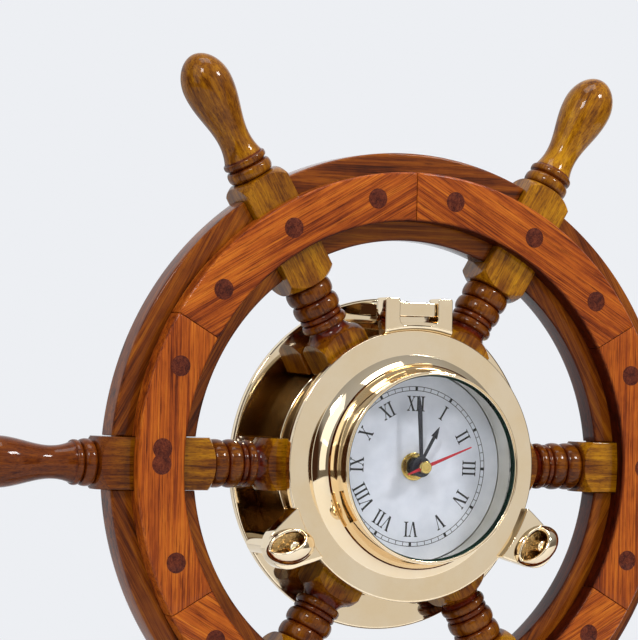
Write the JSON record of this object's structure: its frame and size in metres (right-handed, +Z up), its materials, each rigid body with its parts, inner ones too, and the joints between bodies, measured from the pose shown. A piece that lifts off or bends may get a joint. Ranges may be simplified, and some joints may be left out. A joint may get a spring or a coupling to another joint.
{
  "type": "ship wheel clock",
  "caption": "Wooden ship's wheel wall clock: turned spokes, layered rim and a hinged brass porthole at the hub over a quartz dial, shut by cup-nut clamp screws.",
  "frame": {"origin": "on the hub axis, in the plane of the wall that the rear facings touch", "axes": "+X to the right as seen from the front, +Y into the wall so that the dial faces -Y, +Z up"},
  "size_m": [0.4572, 0.0614, 0.3982],
  "materials": {
    "spoke_wood": "gloss varnish",
    "rim_wood": "gloss varnish",
    "facing_wood": "gloss varnish",
    "polished_brass": "polished",
    "steel": "plain",
    "clear_glass": "clear",
    "dial_silver": "satin silver",
    "black_paint": "satin",
    "red_paint": "satin",
    "black_plastic": "matte",
    "white_plastic": "matte",
    "copper_wire": "lacquered copper",
    "board_green": "solder mask",
    "cell_wrap": "plain sleeve"
  },
  "bodies": {
    "clock": {"spoke_1": "spoke_wood", "spoke_2": "spoke_wood", "spoke_3": "spoke_wood", "spoke_4": "spoke_wood", "spoke_5": "spoke_wood", "spoke_6": "spoke_wood", "felloe_1": "rim_wood", "felloe_2": "rim_wood", "felloe_3": "rim_wood", "felloe_4": "rim_wood", "felloe_5": "rim_wood", "felloe_6": "rim_wood", "front_facing_1": "facing_wood", "front_facing_2": "facing_wood", "front_facing_3": "facing_wood", "front_facing_4": "facing_wood", "front_facing_5": "facing_wood", "front_facing_6": "facing_wood", "rear_facing_1": "facing_wood", "rear_facing_2": "facing_wood", "rear_facing_3": "facing_wood", "rear_facing_4": "facing_wood", "rear_facing_5": "facing_wood", "rear_facing_6": "facing_wood", "hanger_plate": "steel", "porthole_body": "polished_brass", "porthole_barrel": "polished_brass", "barrel_ledge": "polished_brass", "dial_carrier": "white_plastic", "dial": "dial_silver", "fixing_washer": "polished_brass", "fixing_nut": "polished_brass", "movement_case": "black_plastic", "movement_cover": "black_plastic", "aa_cell": "cell_wrap", "contact_positive": "steel", "contact_negative": "steel", "coil": "copper_wire", "stator": "steel", "circuit_board": "board_green"},
    "lid": {"porthole_lid": "polished_brass", "window_glass": "clear_glass", "hinge_pin": "polished_brass"},
    "clamp_screw_left": {"clamp_stud_left": "polished_brass", "cup_nut_left": "polished_brass"},
    "clamp_screw_right": {"clamp_stud_right": "polished_brass", "cup_nut_right": "polished_brass"},
    "second_set": {"second_wheel": "white_plastic", "second_hand": "red_paint"},
    "minute_set": {"centre_wheel": "white_plastic", "minute_hand": "black_paint"},
    "hour_set": {"hour_wheel": "white_plastic", "hour_hand": "black_paint"},
    "third_arbor": {"third_wheel": "white_plastic"},
    "motion_arbor": {"motion_wheel": "white_plastic"},
    "intermediate_arbor": {"intermediate_wheel": "white_plastic"},
    "rotor_arbor": {"rotor": "steel"},
    "setting_arbor": {"setting_knob": "black_plastic"}
  },
  "joints": [
    {"name": "lid_hinge", "type": "hinge", "parent": "clock", "child": "lid", "pos_m": [0, -0.0375, 0.07741], "axis": [-1, 0, 0], "range_deg": [0, 110]},
    {"name": "clamp_left_spin", "type": "hinge", "parent": "lid", "child": "clamp_screw_left", "pos_m": [-0.06799, -0.043, -0.03925], "axis": [0, -1, 0], "continuous": true},
    {"name": "clamp_right_spin", "type": "hinge", "parent": "lid", "child": "clamp_screw_right", "pos_m": [0.06799, -0.043, -0.03925], "axis": [0, -1, 0], "continuous": true},
    {"name": "second_spin", "type": "hinge", "parent": "clock", "child": "second_set", "pos_m": [0, 0, 0], "axis": [0, 1, 0], "continuous": true},
    {"name": "minute_spin", "type": "hinge", "parent": "clock", "child": "minute_set", "pos_m": [0, 0, 0], "axis": [0, 1, 0], "continuous": true},
    {"name": "hour_spin", "type": "hinge", "parent": "clock", "child": "hour_set", "pos_m": [0, 0, 0], "axis": [0, 1, 0], "continuous": true},
    {"name": "third_spin", "type": "hinge", "parent": "clock", "child": "third_arbor", "pos_m": [-0.01082, -0.03, 0.0029], "axis": [0, 1, 0], "continuous": true},
    {"name": "motion_spin", "type": "hinge", "parent": "clock", "child": "motion_arbor", "pos_m": [0.0032, -0.03, -0.00554], "axis": [0, 1, 0], "continuous": true},
    {"name": "intermediate_spin", "type": "hinge", "parent": "clock", "child": "intermediate_arbor", "pos_m": [0.0072, -0.03, 0.00858], "axis": [0, 1, 0], "continuous": true},
    {"name": "rotor_spin", "type": "hinge", "parent": "clock", "child": "rotor_arbor", "pos_m": [0.01375, -0.03, 0.01236], "axis": [0, 1, 0], "continuous": true},
    {"name": "setting_spin", "type": "hinge", "parent": "clock", "child": "setting_arbor", "pos_m": [0.01029, -0.02, -0.00679], "axis": [0, 1, 0], "continuous": true}
  ],
  "couplings": [
    {"joint": "minute_spin", "follows": "second_spin", "ratio": 0.016667},
    {"joint": "hour_spin", "follows": "second_spin", "ratio": 0.0013889},
    {"joint": "third_spin", "follows": "second_spin", "ratio": -0.13333},
    {"joint": "motion_spin", "follows": "second_spin", "ratio": -0.0055556},
    {"joint": "intermediate_spin", "follows": "second_spin", "ratio": -5},
    {"joint": "rotor_spin", "follows": "second_spin", "ratio": 30},
    {"joint": "setting_spin", "follows": "second_spin", "ratio": 0.011111}
  ]
}
